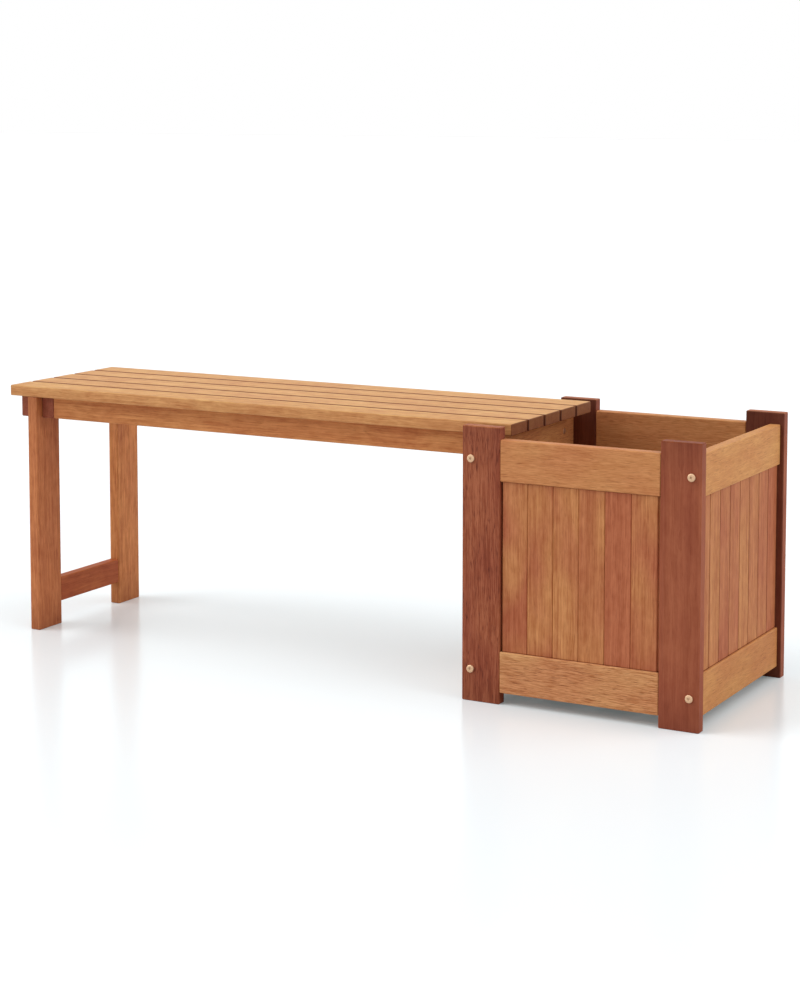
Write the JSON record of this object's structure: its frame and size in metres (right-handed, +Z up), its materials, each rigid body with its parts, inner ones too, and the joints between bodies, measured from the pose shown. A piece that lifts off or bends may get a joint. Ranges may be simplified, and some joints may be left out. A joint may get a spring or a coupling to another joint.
{
  "type": "bench with planter",
  "caption": "Slatted wooden bench that stands on a leg frame at one end and on a square boarded planter box at the other.",
  "frame": {"origin": "on the ground, under the middle of the whole piece", "axes": "+X along the seat towards the planter, -Y is the front, +Z up"},
  "size_m": [1.27, 0.3738, 0.42],
  "materials": {
    "oiled_light_hardwood": "satin oil, planed",
    "oiled_red_hardwood": "satin oil, planed",
    "oiled_board_hardwood": "satin oil, planed",
    "brass_plated_steel": "satin plated"
  },
  "bodies": {
    "root": {"post_front_left": "oiled_red_hardwood", "post_front_right": "oiled_red_hardwood", "post_back_left": "oiled_red_hardwood", "post_back_right": "oiled_red_hardwood", "front_bottom_rail": "oiled_light_hardwood", "front_top_rail": "oiled_light_hardwood", "right_bottom_rail": "oiled_light_hardwood", "right_top_rail": "oiled_light_hardwood", "back_bottom_rail": "oiled_light_hardwood", "back_top_rail": "oiled_light_hardwood", "left_bottom_rail": "oiled_light_hardwood", "left_top_rail": "oiled_light_hardwood", "front_board_1": "oiled_board_hardwood", "front_board_2": "oiled_board_hardwood", "front_board_3": "oiled_board_hardwood", "front_board_4": "oiled_board_hardwood", "front_board_5": "oiled_board_hardwood", "front_board_6": "oiled_board_hardwood", "right_board_1": "oiled_board_hardwood", "right_board_2": "oiled_board_hardwood", "right_board_3": "oiled_board_hardwood", "right_board_4": "oiled_board_hardwood", "right_board_5": "oiled_board_hardwood", "right_board_6": "oiled_board_hardwood", "right_board_7": "oiled_board_hardwood", "right_board_8": "oiled_board_hardwood", "back_board_1": "oiled_board_hardwood", "back_board_2": "oiled_board_hardwood", "back_board_3": "oiled_board_hardwood", "back_board_4": "oiled_board_hardwood", "back_board_5": "oiled_board_hardwood", "back_board_6": "oiled_board_hardwood", "left_board_panel": "oiled_board_hardwood", "bolt_front_left_bottom": "brass_plated_steel", "bolt_front_left_top": "brass_plated_steel", "bolt_front_right_bottom": "brass_plated_steel", "bolt_front_right_top": "brass_plated_steel", "bolt_back_left_bottom": "brass_plated_steel", "bolt_back_left_top": "brass_plated_steel", "bolt_back_right_bottom": "brass_plated_steel", "bolt_back_right_top": "brass_plated_steel", "floor_cleat_front": "oiled_light_hardwood", "floor_cleat_back": "oiled_light_hardwood", "floor_slat_1": "oiled_board_hardwood", "floor_slat_2": "oiled_board_hardwood", "floor_slat_3": "oiled_board_hardwood", "floor_slat_4": "oiled_board_hardwood", "seat_slat_1": "oiled_light_hardwood", "seat_slat_2": "oiled_light_hardwood", "seat_slat_3": "oiled_light_hardwood", "seat_slat_4": "oiled_light_hardwood", "seat_slat_5": "oiled_light_hardwood", "seat_apron_front": "oiled_light_hardwood", "seat_apron_back": "oiled_light_hardwood", "seat_batten_outer": "oiled_red_hardwood", "seat_batten_inner": "oiled_red_hardwood", "seat_batten_middle": "oiled_red_hardwood", "bench_leg_front": "oiled_light_hardwood", "bench_leg_back": "oiled_light_hardwood", "leg_stretcher": "oiled_light_hardwood"}
  },
  "joints": []
}
